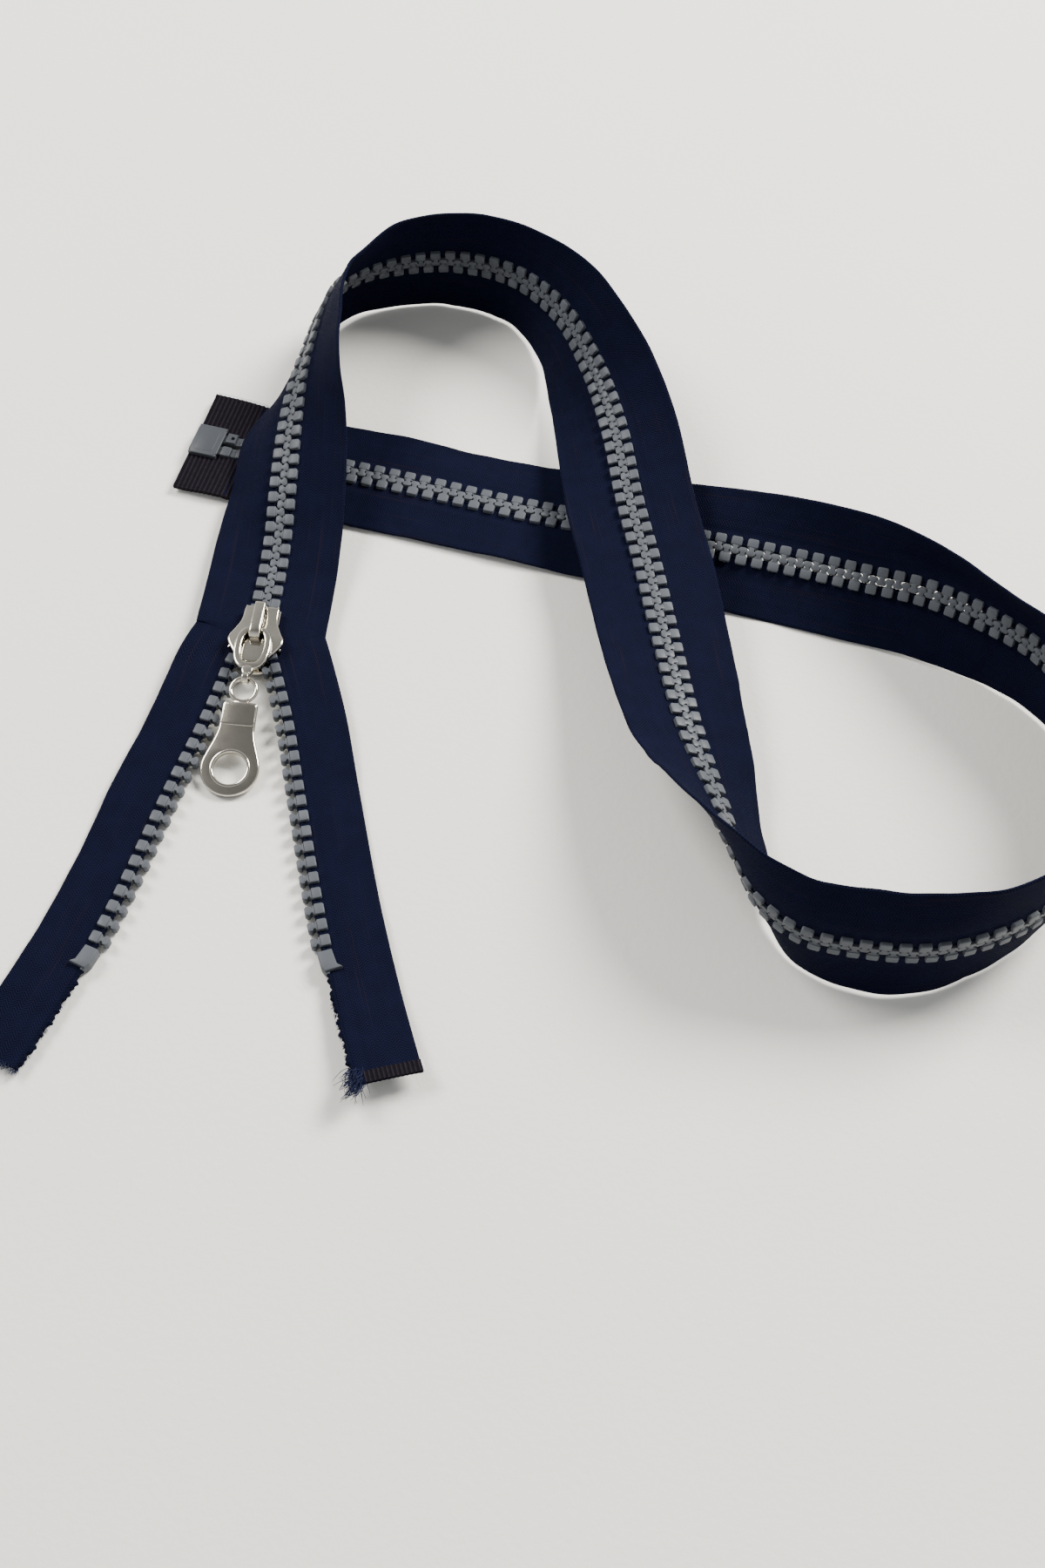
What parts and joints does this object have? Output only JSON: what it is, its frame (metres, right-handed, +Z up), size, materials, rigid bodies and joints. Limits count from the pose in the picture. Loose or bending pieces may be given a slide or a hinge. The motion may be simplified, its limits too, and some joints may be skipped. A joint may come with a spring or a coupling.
{
  "type": "zipper",
  "caption": "Open-end jacket zipper with moulded plastic teeth on two woven tapes, half open, with a metal slider, a ring pull tab and a retainer box, lying in two loose loops.",
  "frame": {"origin": "on the surface the zipper lies on, under the middle of its outline", "axes": "+X along the longest extent, from the open legs towards the looped chain; +Y the way the closed chain leaves the slider; +Z up"},
  "size_m": [0.2202, 0.2064, 0.0288],
  "materials": {
    "tape_fabric": "navy woven twill",
    "cord_fabric": "navy edge cord",
    "tooth_plastic": "satin moulded plastic, blue grey",
    "box_plastic": "satin moulded plastic, blue grey",
    "film_plastic": "ribbed stiffening film, black",
    "slider_metal": "polished nickel plate",
    "spring_steel": "spring steel"
  },
  "bodies": {
    "chain": {"left_tape": "tape_fabric", "right_tape": "tape_fabric", "left_cord": "cord_fabric", "right_cord": "cord_fabric", "left_teeth_closed": "tooth_plastic", "right_teeth_closed": "tooth_plastic", "left_teeth_slider": "tooth_plastic", "right_teeth_slider": "tooth_plastic", "left_teeth_open": "tooth_plastic", "right_teeth_open": "tooth_plastic", "left_top_stop": "tooth_plastic", "right_top_stop": "tooth_plastic", "retainer_box": "box_plastic", "box_pin": "box_plastic", "insertion_pin": "box_plastic", "box_film_left": "film_plastic", "box_film_right": "film_plastic", "end_film_right": "film_plastic"},
    "slider": {"slider_body": "slider_metal", "slider_bridge": "slider_metal", "lock_spring": "spring_steel"},
    "pawl": {"lock_pawl": "slider_metal"},
    "link": {"pull_link": "slider_metal"},
    "tab": {"pull_tab": "slider_metal"}
  },
  "joints": [
    {"name": "slider_slide", "type": "slide", "parent": "chain", "child": "slider", "axis": [0.1132, 0.9936, 0], "range_m": [0, 0.014], "deforming": ["left_tape", "right_tape", "left_cord", "right_cord", "left_teeth_slider", "right_teeth_slider", "left_teeth_open", "right_teeth_open"]},
    {"name": "pull_link_hinge", "type": "hinge", "parent": "slider", "child": "link", "pos_m": [-0.06073, -0.00091, 0.00672], "axis": [-0.9936, 0.1132, 0], "range_deg": [0, 120]},
    {"name": "pull_tab_hinge", "type": "hinge", "parent": "link", "child": "tab", "pos_m": [-0.06211, -0.01303, 0.0063], "axis": [-0.9936, 0.1132, 0], "range_deg": [-15, 60]},
    {"name": "lock_pawl_lift", "type": "slide", "parent": "slider", "child": "pawl", "axis": [0, 0, 1], "range_m": [0, 0.0007], "deforming": ["lock_spring"]}
  ],
  "couplings": [
    {"joint": "lock_pawl_lift", "follows": "pull_link_hinge", "m_per_rad": 0.0003}
  ]
}
